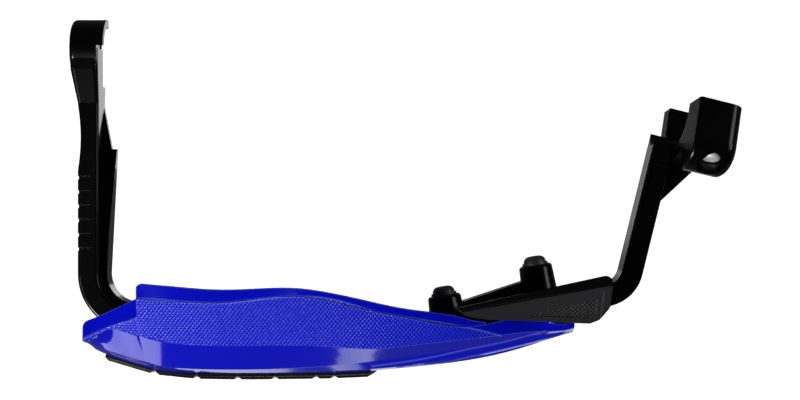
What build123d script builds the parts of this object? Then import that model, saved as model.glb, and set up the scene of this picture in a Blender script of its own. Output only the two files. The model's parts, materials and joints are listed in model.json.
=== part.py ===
# Motorcycle hand guard, right-hand side, in millimetres.
# Origin: centre of the bar-end bolt hole. +X runs inboard along that hole, +Y to the rider, +Z up.
import os
from math import cos, radians, sin, sqrt

from build123d import *

os.makedirs("parts", exist_ok=True)

# Overrun of cutting solids past the faces that they cut
CUT_MARGIN = 1.0

# Bar-end eye
EYE_RADIUS = 11.5
EYE_OUTBOARD_X = -3.4
EYE_WIDTH = 10.5
EYE_EDGE_RADIUS = 1.8
BAR_END_HOLE_RADIUS = 4.25
EYE_BLEND_INSET = 0.25
EYE_SHOULDER_Y = -8.0
EYE_SHOULDER_HALF_HEIGHT = 10.4
EYE_BLEND_END_Y = -20.7
EYE_UNDERCUT_TOP = -2.3
EYE_UNDERCUT_END_Y = -14.0
EYE_UNDERCUT_DEPTH = 3.0
COLLAR_WIDTH = 2.5
COLLAR_WALL = 3.0
COLLAR_START_Y = 1.0
COLLAR_END_Z = -2.0

# Spar: outer arm, bend, bowed cross bar, bend, inner arm
SPAR_WIDTH = 8.0
SPAR_HEIGHT = 16.0
SPAR_EDGE_RADIUS = 1.3
OUTER_ARM_X = 3.3
OUTER_ARM_LENGTH = 86.0
OUTER_BEND_RADIUS = 18.0
OUTER_BEND_TURN = 78.0
BOW_RADIUS = 358.0
BOW_TURN = 30.0
INNER_BEND_RADIUS = 12.0
INNER_BEND_TURN = 58.2
INNER_ARM_LENGTH = 54.0
ARM_WAIST_START_Y = -20.7
ARM_WAIST_Y = -34.0
ARM_WAIST_END_Y = -47.0
ARM_WAIST_DEPTH = 1.3
ARM_POCKET_START = 12.0
ARM_POCKET_LENGTH = 26.0
ARM_POCKET_DEPTH = 2.4
ARM_POCKET_RIM = 1.3

# Reinforcing ledge on the inboard side of the outer arm
LEDGE_REACH = 5.0
LEDGE_START_Y = -22.0
LEDGE_FULL_Y = -38.0
LEDGE_RISE_END_Y = -69.0
LEDGE_STEP_REACH = 3.0
LEDGE_END_REACH = 2.5
LEDGE_LOW_TOP = -5.0
LEDGE_HIGH_TOP = 3.0

# Grip notches on the outer arm
NOTCH_COUNT = 6
NOTCH_PITCH = 5.45
NOTCH_FIRST_Y = -48.6
NOTCH_WIDTH = 1.3
NOTCH_DEPTH = 0.5
NOTCH_FADE = 5.2

# Shield fixings: place along the cross bar, lean of the screw, distance from bar centre to screw seat
FIXINGS = ((40.0, -8.0, 6.5), (90.0, 0.0, 6.5), (141.2, 9.0, 14.0), (177.0, 9.0, 18.8))
BOSS_BASE_RADIUS = 7.4
BOSS_TOP_RADIUS = 6.3
BOSS_EDGE_RADIUS = 1.3
WEB_HEIGHT = 10.0
WEB_SETBACK = 4.5
SPOT_FACE_DEPTH = 0.5
POST_RADIUS = 5.5
SCREW_RADIUS = 2.5
SCREW_FLANGE_RADIUS = 4.9
SCREW_FLANGE_HEIGHT = 0.8
SCREW_HEAD_RADIUS = 4.3
SCREW_HEAD_HEIGHT = 3.3
SCREW_DOME_RADIUS = 2.4
SCREW_CLEARANCE = 0.25
INSERT_RADIUS = 3.3
INSERT_LENGTH = 5.0
INSERT_FIT = 0.05
THREAD_CLEARANCE = 0.1
SOCKET_RADIUS = 1.7
SOCKET_DEPTH = 1.8

# Handlebar saddle
BAR_RADIUS = 11.1
SADDLE_CENTRE = (237.2, -29.0, 0.0)
SADDLE_YAW = -13.0
SADDLE_DIP = 10.0
SADDLE_TILT = 14.0
SADDLE_LENGTH = 18.0
SADDLE_WALL = 5.2
FAR_PRONG_REACH = 7.5
PRONG_LIP = 1.2
BAR_RELIEF = 0.8
BOSS_REAR = 3.7
BOSS_FRONT = -22.4
BOSS_TOP = 22.5
BOSS_NOSE_RADIUS = 10.5
BOSS_OUTBOARD_RADIUS = 1.2
BOSS_INBOARD_RADIUS = 5.0
CLAMP_SCREW_RADIUS = 2.0
CLAMP_HEAD_RADIUS = 3.8
CLAMP_HEAD_HEIGHT = 3.6
CLAMP_HEAD_EDGE_RADIUS = 1.8
CLAMP_HEAD_CLEARANCE = 0.8
CLAMP_SOCKET_RADIUS = 1.7
CLAMP_RECESS_DEPTH = 7.9
CLAMP_SCREW_OFFSET = 16.9
CLAMP_SCREW_LENGTH = 16.5
GUSSET_TOP = 1.0
GUSSET_THICKNESS = 8.0
GUSSET_FOOT = 0.405
GUSSET_TOE = (234.7, -46.6)

# Shield: outer creases from the top edge to the bottom edge, each by a few points (x, y, z).
# The Y values of the shield and the end panel count from the end of the outer arm, so they follow the bar.
SHIELD_WALL = 2.8
SHIELD_START_X = 5.5
STEP_X = 27.0
FLANGE_END_X = 154.0
SHIELD_END_X = 188.0
SIDE_STATION_COUNT = 5
MAIN_STATION_COUNT = 12
FLANGE_DROP = 0.4
FLANGE_CORNER_RADIUS = 2.0
SIDE_CORNER_RADIUS = 3.0
LOW_CREASE_SHARE = 0.4
LIP = (
    (27, -1.6, 44.0), (56, -3.9, 46.0), (84, -3.3, 46.0), (101, -6.0, 42.5), (118, -10.2, 38.0),
    (146, -15.0, 28.5), (154, -17.0, 24.8),
)
BROW = (
    (27, -7.3, 43.0), (56, -8.8, 45.0), (85, -6.4, 45.0), (118, -13.4, 37.0), (146, -18.7, 28.0),
    (156, -17.6, 22.8), (165, -15.8, 18.0), (188, -15.9, 12.4),
)
SIDE_LIP = ((5.5, -16.5, 30.8), (9.3, -15.2, 32.0), (16.3, -12.2, 34.5), (27, -7.2, 38.5))
SIDE_BROW = ((5.5, -22.8, 31.0), (12.4, -19.8, 33.0), (16.2, -18.1, 34.0), (27, -14.3, 38.3))
TEXTURE_EDGE = (
    (5.5, -23.7, 30.0), (12.4, -20.7, 32.0), (16.2, -19.0, 33.2), (27, -21.2, 34.5), (46, -24.6, 35.0),
    (86, -24.7, 35.0), (113, -26.3, 32.0), (129, -25.0, 29.0), (157, -22.5, 21.0), (188, -20.0, 12.0),
)
SMOOTH_EDGE = (
    (5.5, -25.2, 20.0), (17, -29.2, 20.0), (27, -32.0, 20.0), (44, -34.8, 20.0), (90, -34.2, 19.0),
    (132, -29.6, 16.0), (160, -25.2, 13.0), (188, -20.7, 10.2),
)
RIDGE = (
    (5.5, -26.8, 12.0), (17, -31.4, 12.0), (44, -36.6, 12.0), (104, -36.1, 12.0), (131, -33.6, 10.5),
    (165, -27.6, 8.0), (188, -21.6, 7.0),
)
FRONT = (
    (5.5, -28.6, 5.0), (9, -30.4, 5.0), (27, -35.9, 5.0), (42, -37.8, 5.0), (84, -37.9, 5.0),
    (114, -36.8, 5.0), (155, -31.7, 5.0), (188, -22.3, 5.0),
)
BOTTOM = (
    (5.5, -22.2, -24.5), (27, -27.0, -33.0), (60, -28.0, -36.0), (114, -26.5, -34.0), (150, -23.5, -26.0),
    (188, -19.8, -10.5),
)

# Front pads: the gaps between them along X, and how far they stand proud
PAD_EDGES = (8.9, 28.4, 44.2, 59.8, 74.0, 89.6, 96.6, 110.8)
PAD_GAP = 0.7
PAD_HEIGHT = 17.0
PAD_CENTRE_Z = -4.0
PAD_PROUD = 2.4
PAD_SLANT = 3.0
PAD_CHAMFER = 1.1
PAD_SINK = 1.6
STUD_RADIUS = 1.5
STUD_DROP = 5.0
STUD_HEAD_RADIUS = 2.3
STUD_HEAD_HEIGHT = 1.2
STUD_CLEARANCE = 0.1
STUD_HEAD_GAP = 0.25
TWO_STUD_WIDTH = 10.0

# End panel at the inboard end
PANEL_WALL = 2.2
PANEL_TOP_Z = 29.0
PANEL_STATIONS = (142, 154, 169, 188, 203)
PANEL_REAR = ((142, -11.5, PANEL_TOP_Z), (203, 1.7, PANEL_TOP_Z))
PANEL_CREST = ((142, -13.8, PANEL_TOP_Z), (165, -9.1, PANEL_TOP_Z), (203, -2.8, PANEL_TOP_Z))
PANEL_FOOT = (
    (142, -14.6, 28.6), (146, -14.9, 27.6), (154, -16.4, 24.4), (169, -17.4, 19.4), (188, -18.4, 15.1),
    (203, -19.3, 12.0),
)
PANEL_OUTLINE = (
    (142.6, -11.6), (200.5, 0.9), (200.5, -12.0), (197.0, -17.0), (188.7, -20.4), (150.0, -20.4),
    (146.6, -15.0),
)
PANEL_REAR_CORNER_RADIUS = 2.5
PANEL_CORNER_RADIUS = 3.0
PANEL_FACE_DEPTH = 0.7
PANEL_FACE_START_X = 143.0
PANEL_FACE_END_X = 197.4
PANEL_FACE_TOP_SHARE = 0.1
PANEL_GRIP_DEPTH = 0.5
PANEL_GRIP = ((170.1, -15.2), (195.3, -8.6), (195.6, -13.9), (192.9, -16.2))
PANEL_POSTS = ((157.0, -12.3), (190.0, -11.7))
PANEL_POST_RADIUS = 3.0
PANEL_SCREW_RADIUS = 1.5
PANEL_SCREW_HEAD_RADIUS = 2.9
PANEL_SCREW_HEAD_HEIGHT = 1.8
PANEL_SCREW_GRIP = 6.0
PANEL_SCREW_CLEARANCE = 0.2


# Where the cross bar runs
HALF_WIDTH = SPAR_WIDTH / 2
HALF_HEIGHT = SPAR_HEIGHT / 2
BOW_START_ANGLE = OUTER_BEND_TURN - 90
BOW_START_X = OUTER_ARM_X + OUTER_BEND_RADIUS * (1 - cos(radians(OUTER_BEND_TURN)))
BOW_START_Y = -OUTER_ARM_LENGTH - OUTER_BEND_RADIUS * sin(radians(OUTER_BEND_TURN))
BOW_CENTRE_X = BOW_START_X - BOW_RADIUS * sin(radians(BOW_START_ANGLE))
BOW_CENTRE_Y = BOW_START_Y + BOW_RADIUS * cos(radians(BOW_START_ANGLE))


def bar_y(x):
    """Y of the cross bar's centre line at x."""
    return BOW_CENTRE_Y - sqrt(BOW_RADIUS**2 - (x - BOW_CENTRE_X) ** 2)


def rail_slope(rail, i, axis):
    """Slope of a crease at its point i, along Y (axis 1) or Z (axis 2)."""
    before = rail[max(i - 1, 0)]
    after = rail[min(i + 1, len(rail) - 1)]
    return (after[axis] - before[axis]) / (after[0] - before[0])


def rail_at(rail, x):
    """Y and Z of a crease at x, on a smooth curve through the crease's points."""
    i = 1
    while i < len(rail) - 1 and rail[i][0] < x:
        i += 1
    start, end = rail[i - 1], rail[i]
    span = end[0] - start[0]
    t = (x - start[0]) / span
    place = []
    for axis in (1, 2):
        rise = (3 - 2 * t) * t**2
        lead = rail_slope(rail, i - 1, axis) * t * (1 - t) ** 2
        trail = rail_slope(rail, i, axis) * (1 - t) * t**2
        place.append(start[axis] + (end[axis] - start[axis]) * rise + span * (lead - trail))
    return place[0] - OUTER_ARM_LENGTH, place[1]


def stations(start, end, count):
    """Evenly spaced X positions from start to end."""
    return [start + (end - start) * i / (count - 1) for i in range(count)]


def wall_section(outer, wall):
    """Closed section of a wall: the outer corners and their mitred offset to the rear."""
    normals = []
    for (y0, z0), (y1, z1) in zip(outer, outer[1:]):
        length = sqrt((y1 - y0) ** 2 + (z1 - z0) ** 2)
        normals.append(((z0 - z1) / length, (y1 - y0) / length))
    inner = []
    for i, (y, z) in enumerate(outer):
        before = normals[max(i - 1, 0)]
        after = normals[min(i, len(normals) - 1)]
        scale = wall / (1 + before[0] * after[0] + before[1] * after[1])
        inner.append((y + scale * (before[0] + after[0]), z + scale * (before[1] + after[1])))
    return outer + inner[::-1]


def front_y(x):
    """Y of the shield's upright front face at x."""
    return rail_at(FRONT, x)[0]


def shield_section(top_rail, x):
    """Section of the shield's wall at x, from its top crease to its bottom edge."""
    bottom = rail_at(BOTTOM, x)
    low = (front_y(x), LOW_CREASE_SHARE * bottom[1])
    creases = [rail_at(rail, x) for rail in (top_rail, TEXTURE_EDGE, SMOOTH_EDGE, RIDGE, FRONT)]
    return wall_section(creases + [low, bottom], SHIELD_WALL)


def flange_section(lip_rail, root_rail, x):
    """Section of the shield's rear flange at x, a little below the crease that it grows from."""
    lip_y, lip_z = rail_at(lip_rail, x)
    root_y, root_z = rail_at(root_rail, x)
    lip_z -= FLANGE_DROP
    root_z -= FLANGE_DROP
    return [(lip_y, lip_z), (root_y, root_z), (root_y, root_z - SHIELD_WALL), (lip_y, lip_z - SHIELD_WALL)]


def section_faces(sections):
    """Faces of closed sections, given as (x, corners), on planes across X."""
    faces_along_x = []
    for x, corners in sections:
        with BuildSketch(Plane.YZ.offset(x)) as section:
            Polygon(*corners, align=None)
        faces_along_x.append(section.sketch)
    return faces_along_x


def panel_corners(x):
    """Corners of the end panel's outer face at x, from its rear edge to its foot."""
    return [rail_at(rail, x) for rail in (PANEL_REAR, PANEL_CREST, PANEL_FOOT)]


def panel_face_section(x, depth):
    """Section of the space over the panel's sloping face at x, sunk to a depth below it."""
    _, (crest_y, crest_z), (foot_y, foot_z) = panel_corners(x)
    top_y = crest_y + (foot_y - crest_y) * PANEL_FACE_TOP_SHARE
    top_z = crest_z + (foot_z - crest_z) * PANEL_FACE_TOP_SHARE
    low_y, low_z = 2 * foot_y - top_y, 2 * foot_z - top_z
    return [
        (top_y, top_z + PANEL_TOP_Z),
        (low_y, low_z + PANEL_TOP_Z),
        (low_y, low_z - depth),
        (top_y, top_z - depth),
    ]


def panel_space_section(x):
    """Section at x of the space under the middle of the panel's wall."""
    wall = [(y, z - PANEL_WALL / 2) for y, z in panel_corners(x)]
    return wall + [(wall[-1][0], 0), (wall[0][0], 0)]


def fixing_plane(fixing):
    """Plane at the bar's centre on a shield screw's axis, with its normal to the rear."""
    x, lean, _ = fixing
    return Plane(origin=(x, bar_y(x), 0), x_dir=(0, 0, 1), z_dir=(-sin(radians(lean)), cos(radians(lean)), 0))


def wall_distance(fixing):
    """Distance along a shield screw's axis from the bar's centre forward to the shield's front face."""
    x, lean, _ = fixing
    distance = bar_y(x) - front_y(x)
    for _ in range(4):
        distance = (bar_y(x) - front_y(x + distance * sin(radians(lean)))) / cos(radians(lean))
    return distance


def pad_plane(left, right):
    """Plane on the shield's front face between two X positions, with its normal to the front."""
    chord = Vector(right - left, front_y(right) - front_y(left), 0)
    middle = ((left + right) / 2, (front_y(left) + front_y(right)) / 2, PAD_CENTRE_Z)
    return Plane(origin=middle, x_dir=chord, z_dir=chord.cross(Vector(0, 0, 1)))


def stud_places(width):
    """Places of a pad's studs on its plane, below the shield's posts."""
    middle = PAD_SLANT / 2
    across = (middle - width / 4, middle + width / 4) if width > TWO_STUD_WIDTH else (middle,)
    return [(x, -STUD_DROP) for x in across]


# Directions of the handlebar saddle: along the bar, out of its mouth, and up through its boss
yaw, dip, tilt = radians(SADDLE_YAW), radians(SADDLE_DIP), radians(SADDLE_TILT)
bar_axis = Vector(cos(dip) * cos(yaw), cos(dip) * sin(yaw), -sin(dip))
level = Vector(-sin(yaw), cos(yaw), 0)
mouth_axis = level * cos(tilt) - bar_axis.cross(level) * sin(tilt)
boss_axis = bar_axis.cross(mouth_axis)
saddle_centre = Vector(*SADDLE_CENTRE)
saddle_plane = Plane(origin=saddle_centre, x_dir=mouth_axis, z_dir=bar_axis)
screw_plane = Plane(
    origin=saddle_centre + boss_axis * CLAMP_SCREW_OFFSET + mouth_axis * (BOSS_FRONT + CLAMP_RECESS_DEPTH),
    x_dir=bar_axis,
    z_dir=-mouth_axis,
)
bar_line = Axis(saddle_centre, bar_axis)
mouth_line = Axis(saddle_centre, mouth_axis)
boss_line = Axis(saddle_centre, boss_axis)
bar_front = HALF_WIDTH - SPOT_FACE_DEPTH
arm_inboard_x = OUTER_ARM_X + HALF_WIDTH
arm_outboard_x = OUTER_ARM_X - HALF_WIDTH
eye_inboard_x = EYE_OUTBOARD_X + EYE_WIDTH
pads = list(zip(PAD_EDGES, PAD_EDGES[1:]))
panel_posts = [(x, y - OUTER_ARM_LENGTH) for x, y in PANEL_POSTS]
face_stations = stations(PANEL_FACE_START_X, PANEL_FACE_END_X, len(PANEL_STATIONS))

# Blend of the bar-end eye into the outer arm, by Y, outboard X, half height and edge radius.
# It starts a little inside the eye's own faces.
blend_x = EYE_OUTBOARD_X + EYE_BLEND_INSET
blend_sections = (
    (0, blend_x, EYE_RADIUS - EYE_BLEND_INSET, EYE_EDGE_RADIUS),
    (EYE_SHOULDER_Y, blend_x, EYE_SHOULDER_HALF_HEIGHT, EYE_EDGE_RADIUS),
    (EYE_BLEND_END_Y, arm_outboard_x, HALF_HEIGHT, SPAR_EDGE_RADIUS),
)
with BuildPart() as eye_blend:
    for y, outboard_x, half_height, radius in blend_sections:
        middle = ((outboard_x + arm_inboard_x) / 2, y, 0)
        with BuildSketch(Plane(origin=middle, x_dir=(1, 0, 0), z_dir=(0, -1, 0))):
            RectangleRounded(arm_inboard_x - outboard_x, 2 * half_height, radius)
    loft(ruled=True)

# Screw bosses for the rear of the cross bar, with rounded tops
bosses = []
for fixing in FIXINGS:
    seat = fixing_plane(fixing).offset(fixing[2])
    with BuildPart() as boss:
        with BuildSketch(fixing_plane(fixing)):
            Circle(BOSS_BASE_RADIUS)
        with BuildSketch(seat):
            Circle(BOSS_TOP_RADIUS)
        loft()
        fillet(edges().sort_by(Axis(seat.origin, seat.z_dir))[-1], BOSS_EDGE_RADIUS)
    bosses.append(boss.part)

# Boss of the saddle, with a rounded nose and a rounder inboard side
with BuildPart() as saddle_boss:
    with BuildSketch(saddle_plane.offset(-SADDLE_LENGTH / 2)):
        with Locations((BOSS_FRONT, BAR_RADIUS)):
            Rectangle(BOSS_REAR - BOSS_FRONT, BOSS_TOP - BAR_RADIUS, align=(Align.MIN, Align.MIN))
        fillet(vertices().group_by(Axis.Y)[-1].sort_by(Axis.X)[0], BOSS_NOSE_RADIUS)
    extrude(amount=SADDLE_LENGTH)
    for side, radius in ((0, BOSS_OUTBOARD_RADIUS), (-1, BOSS_INBOARD_RADIUS)):
        outline = faces().sort_by(bar_line)[side].edges()
        fillet(outline.sort_by(boss_line)[1:].sort_by(mouth_line)[:-1], radius)

# Spar
with BuildPart() as spar:
    with BuildLine() as route:
        outer_arm = Line((OUTER_ARM_X, 0), (OUTER_ARM_X, -OUTER_ARM_LENGTH))
        outer_bend = JernArc(outer_arm @ 1, outer_arm % 1, OUTER_BEND_RADIUS, OUTER_BEND_TURN)
        bow = JernArc(outer_bend @ 1, outer_bend % 1, BOW_RADIUS, BOW_TURN)
        inner_bend = JernArc(bow @ 1, bow % 1, INNER_BEND_RADIUS, INNER_BEND_TURN)
        inner_arm = PolarLine(inner_bend @ 1, INNER_ARM_LENGTH, direction=inner_bend % 1)
    with BuildSketch(Plane(origin=outer_arm @ 0, x_dir=(1, 0, 0), z_dir=(0, -1, 0))):
        RectangleRounded(SPAR_WIDTH, SPAR_HEIGHT, SPAR_EDGE_RADIUS)
    sweep(path=route.wires()[0])
    # Bar-end eye, its blend into the arm, and the collar that cups the end of the handlebar
    with BuildSketch(Plane.YZ.offset(EYE_OUTBOARD_X)):
        Circle(EYE_RADIUS)
    extrude(amount=EYE_WIDTH)
    fillet(edges().filter_by(GeomType.CIRCLE).group_by(Axis.X)[0], EYE_EDGE_RADIUS)
    add(eye_blend.part)
    with BuildSketch(Plane.YZ.offset(eye_inboard_x)):
        Circle(EYE_RADIUS)
        Circle(EYE_RADIUS - COLLAR_WALL, mode=Mode.SUBTRACT)
        with Locations((COLLAR_START_Y, 0)):
            Rectangle(2 * EYE_RADIUS, 2 * EYE_RADIUS, align=(Align.MAX, Align.CENTER), mode=Mode.SUBTRACT)
        with Locations((0, COLLAR_END_Z)):
            Rectangle(2 * EYE_RADIUS, 2 * EYE_RADIUS, align=(Align.CENTER, Align.MAX), mode=Mode.SUBTRACT)
    extrude(amount=COLLAR_WIDTH)
    # Undercut of the eye's inboard side, below its middle
    with BuildSketch(Plane.XZ.offset(-2 * EYE_RADIUS)):
        Polygon(
            (eye_inboard_x, EYE_UNDERCUT_TOP),
            (eye_inboard_x + CUT_MARGIN, EYE_UNDERCUT_TOP),
            (eye_inboard_x + CUT_MARGIN, -2 * EYE_RADIUS),
            (eye_inboard_x - EYE_UNDERCUT_DEPTH, -EYE_RADIUS),
            align=None,
        )
    extrude(amount=2 * EYE_RADIUS - EYE_UNDERCUT_END_Y, mode=Mode.SUBTRACT)
    # Slight waist on the outboard side of the outer arm
    with BuildSketch(Plane.XY.offset(-SPAR_HEIGHT)):
        with BuildLine():
            waist = ThreePointArc(
                (arm_outboard_x, ARM_WAIST_START_Y),
                (arm_outboard_x + ARM_WAIST_DEPTH, ARM_WAIST_Y),
                (arm_outboard_x, ARM_WAIST_END_Y),
            )
            Polyline(
                waist @ 1,
                (arm_outboard_x - CUT_MARGIN, ARM_WAIST_END_Y),
                (arm_outboard_x - CUT_MARGIN, ARM_WAIST_START_Y),
                waist @ 0,
            )
        make_face()
    extrude(amount=2 * SPAR_HEIGHT, mode=Mode.SUBTRACT)
    # Ledge along the outer arm, higher towards the bend
    with BuildSketch(Plane.YZ.offset(OUTER_ARM_X)):
        Polygon(
            (LEDGE_START_Y, -HALF_HEIGHT),
            (LEDGE_START_Y, LEDGE_LOW_TOP),
            (LEDGE_FULL_Y, LEDGE_LOW_TOP),
            (LEDGE_RISE_END_Y, LEDGE_HIGH_TOP),
            (-OUTER_ARM_LENGTH, LEDGE_HIGH_TOP),
            (-OUTER_ARM_LENGTH, -HALF_HEIGHT),
            align=None,
        )
    extrude(amount=HALF_WIDTH + LEDGE_REACH)
    with BuildSketch(Plane.XY.offset(-HALF_HEIGHT)):
        Polygon(
            (arm_inboard_x, LEDGE_START_Y),
            (arm_inboard_x + LEDGE_REACH + CUT_MARGIN, LEDGE_START_Y),
            (arm_inboard_x + LEDGE_REACH + CUT_MARGIN, LEDGE_FULL_Y),
            (arm_inboard_x + LEDGE_STEP_REACH, LEDGE_FULL_Y),
            align=None,
        )
        Polygon(
            (arm_inboard_x + LEDGE_REACH, LEDGE_FULL_Y),
            (arm_inboard_x + LEDGE_REACH + CUT_MARGIN, LEDGE_FULL_Y),
            (arm_inboard_x + LEDGE_REACH + CUT_MARGIN, -OUTER_ARM_LENGTH),
            (arm_inboard_x + LEDGE_END_REACH, -OUTER_ARM_LENGTH),
            align=None,
        )
    extrude(amount=SPAR_HEIGHT, mode=Mode.SUBTRACT)
    # Ledge round the bend, until the shield hides it
    with BuildSketch(Plane.XY.offset(-HALF_HEIGHT)):
        with BuildLine():
            inside = JernArc(
                (arm_inboard_x + LEDGE_END_REACH, -OUTER_ARM_LENGTH),
                (0, -1),
                OUTER_BEND_RADIUS - HALF_WIDTH - LEDGE_END_REACH,
                OUTER_BEND_TURN,
            )
            outside = JernArc((OUTER_ARM_X, -OUTER_ARM_LENGTH), (0, -1), OUTER_BEND_RADIUS, OUTER_BEND_TURN)
            Line(inside @ 0, outside @ 0)
            Line(inside @ 1, outside @ 1)
        make_face()
    extrude(amount=LEDGE_HIGH_TOP + HALF_HEIGHT)
    # Grip notches that fade across the top of the arm
    for i in range(NOTCH_COUNT):
        with BuildSketch(Plane.XZ.offset(-NOTCH_FIRST_Y + i * NOTCH_PITCH)):
            Polygon(
                (arm_outboard_x - CUT_MARGIN, -HALF_HEIGHT - CUT_MARGIN),
                (arm_outboard_x + NOTCH_DEPTH, -HALF_HEIGHT - CUT_MARGIN),
                (arm_outboard_x + NOTCH_DEPTH, HALF_HEIGHT - NOTCH_DEPTH),
                (arm_outboard_x + NOTCH_FADE, HALF_HEIGHT),
                (arm_outboard_x + NOTCH_FADE, HALF_HEIGHT + CUT_MARGIN),
                (arm_outboard_x - CUT_MARGIN, HALF_HEIGHT + CUT_MARGIN),
                align=None,
            )
        extrude(amount=NOTCH_WIDTH, mode=Mode.SUBTRACT)
    # Screw bosses on the rear of the cross bar and the web between the two tall ones
    add(bosses)
    web_ends = [fixing_plane(fixing).offset(fixing[2] - WEB_SETBACK).origin for fixing in FIXINGS[2:]]
    with BuildSketch(Plane.XY.offset(-WEB_HEIGHT / 2)):
        Polygon(
            (web_ends[0].X, web_ends[0].Y),
            (web_ends[1].X, web_ends[1].Y),
            (FIXINGS[3][0], bar_y(FIXINGS[3][0])),
            (FIXINGS[2][0], bar_y(FIXINGS[2][0])),
            align=None,
        )
    extrude(amount=WEB_HEIGHT)
    # Pocket that fades down the top of the inner arm
    arm_direction = inner_arm % 1
    arm_side = Plane(
        origin=inner_arm @ 1 + Vector(0, 0, HALF_HEIGHT),
        x_dir=arm_direction,
        z_dir=arm_direction.cross(Vector(0, 0, 1)),
    )
    with BuildSketch(arm_side):
        Polygon(
            (-ARM_POCKET_START, CUT_MARGIN),
            (-ARM_POCKET_START, -ARM_POCKET_DEPTH),
            (-ARM_POCKET_START - ARM_POCKET_LENGTH, 0),
            (-ARM_POCKET_START - ARM_POCKET_LENGTH, CUT_MARGIN),
            align=None,
        )
    extrude(amount=HALF_WIDTH - ARM_POCKET_RIM, both=True, mode=Mode.SUBTRACT)
    # Saddle, its boss, and the gusset to the inner arm
    with BuildSketch(saddle_plane.offset(-SADDLE_LENGTH / 2)):
        Circle(BAR_RADIUS + SADDLE_WALL)
        Rectangle(
            2 * (BAR_RADIUS + SADDLE_WALL),
            2 * (BAR_RADIUS + SADDLE_WALL),
            align=(Align.MIN, Align.CENTER),
            mode=Mode.SUBTRACT,
        )
        with Locations((0, -BAR_RADIUS)):
            Rectangle(FAR_PRONG_REACH, SADDLE_WALL, align=(Align.MIN, Align.MAX))
        with Locations((FAR_PRONG_REACH, -BAR_RADIUS + PRONG_LIP)):
            Rectangle(PRONG_LIP, SADDLE_WALL + PRONG_LIP, align=(Align.MAX, Align.MAX))
    extrude(amount=SADDLE_LENGTH)
    add(saddle_boss.part)
    with BuildSketch(Plane.XY.offset(GUSSET_TOP)):
        arm_end = inner_arm @ 1
        arm_low = inner_arm @ GUSSET_FOOT
        Polygon(
            (arm_low.X, arm_low.Y),
            GUSSET_TOE,
            (SADDLE_CENTRE[0], SADDLE_CENTRE[1] - BAR_RADIUS),
            (arm_end.X, arm_end.Y),
            align=None,
        )
    extrude(amount=-GUSSET_THICKNESS)
    # Seat of the handlebar, its mouth, and relief where the bar passes over the end of the arm
    with BuildSketch(saddle_plane.offset(-SADDLE_LENGTH)):
        Circle(BAR_RADIUS)
    extrude(amount=2 * SADDLE_LENGTH, mode=Mode.SUBTRACT)
    with BuildSketch(saddle_plane.offset(-SADDLE_LENGTH / 2)):
        Circle(BAR_RADIUS + BAR_RELIEF)
        with Locations((0, -BAR_RADIUS)):
            Rectangle(4 * BAR_RADIUS, 2 * BAR_RADIUS, align=(Align.MIN, Align.MIN))
    extrude(amount=-3 * SADDLE_LENGTH, mode=Mode.SUBTRACT)
    # Holes for the bar-end bolt, the clamp screw, the shield screws and the panel screws
    with BuildSketch(Plane.YZ.offset(EYE_OUTBOARD_X)):
        Circle(BAR_END_HOLE_RADIUS)
    extrude(amount=EYE_WIDTH, mode=Mode.SUBTRACT)
    with BuildSketch(screw_plane):
        Circle(CLAMP_HEAD_RADIUS + CLAMP_HEAD_CLEARANCE)
    extrude(amount=2 * CLAMP_RECESS_DEPTH, mode=Mode.SUBTRACT)
    with BuildSketch(screw_plane):
        Circle(CLAMP_SCREW_RADIUS + SCREW_CLEARANCE)
    extrude(amount=BOSS_FRONT - BOSS_REAR, mode=Mode.SUBTRACT)
    for fixing in FIXINGS:
        with BuildSketch(fixing_plane(fixing)):
            Circle(SCREW_RADIUS + SCREW_CLEARANCE)
        extrude(amount=2 * SPAR_HEIGHT, both=True, mode=Mode.SUBTRACT)
        with BuildSketch(fixing_plane(fixing).offset(-bar_front)):
            Circle(POST_RADIUS + SCREW_CLEARANCE)
        extrude(amount=-SPAR_WIDTH, mode=Mode.SUBTRACT)
    with BuildSketch(Plane.XY):
        with Locations(*panel_posts):
            Circle(PANEL_SCREW_RADIUS + PANEL_SCREW_CLEARANCE)
    extrude(amount=SPAR_HEIGHT, both=True, mode=Mode.SUBTRACT)
spar.part.label = "spar"
export_step(spar.part, "parts/spar.step")

# Rear flanges of the shield, with their outboard corners rounded
main_stations = stations(STEP_X, SHIELD_END_X, MAIN_STATION_COUNT)
flange_stations = stations(STEP_X, FLANGE_END_X, MAIN_STATION_COUNT)
side_stations = stations(SHIELD_START_X, STEP_X, SIDE_STATION_COUNT)
flanges = []
for lip, root, places, radius in (
    (LIP, BROW, flange_stations, FLANGE_CORNER_RADIUS),
    (SIDE_LIP, SIDE_BROW, side_stations, SIDE_CORNER_RADIUS),
):
    with BuildPart() as flange:
        loft(section_faces([(x, flange_section(lip, root, x)) for x in places]))
        fillet(faces().sort_by(Axis.X)[0].edges().sort_by(Axis.Y)[-1], radius)
    flanges.append(flange.part)

# Shield
with BuildPart() as shield:
    loft(section_faces([(x, shield_section(BROW, x)) for x in main_stations]))
    loft(section_faces([(x, shield_section(SIDE_BROW, x)) for x in side_stations]))
    add(flanges)
    for fixing in FIXINGS:
        with BuildSketch(fixing_plane(fixing).offset(-bar_front)):
            Circle(POST_RADIUS)
        extrude(amount=bar_front - wall_distance(fixing) + SHIELD_WALL / 2)
        with BuildSketch(fixing_plane(fixing).offset(-bar_front)):
            Circle(INSERT_RADIUS + INSERT_FIT)
        extrude(amount=-INSERT_LENGTH, mode=Mode.SUBTRACT)
    for left, right in pads:
        with BuildSketch(pad_plane(left, right)):
            with Locations(*stud_places(right - left)):
                Circle(STUD_RADIUS + STUD_CLEARANCE)
        extrude(amount=-2 * SHIELD_WALL, both=True, mode=Mode.SUBTRACT)
shield.part.label = "shield"
export_step(shield.part, "parts/shield.step")

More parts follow.
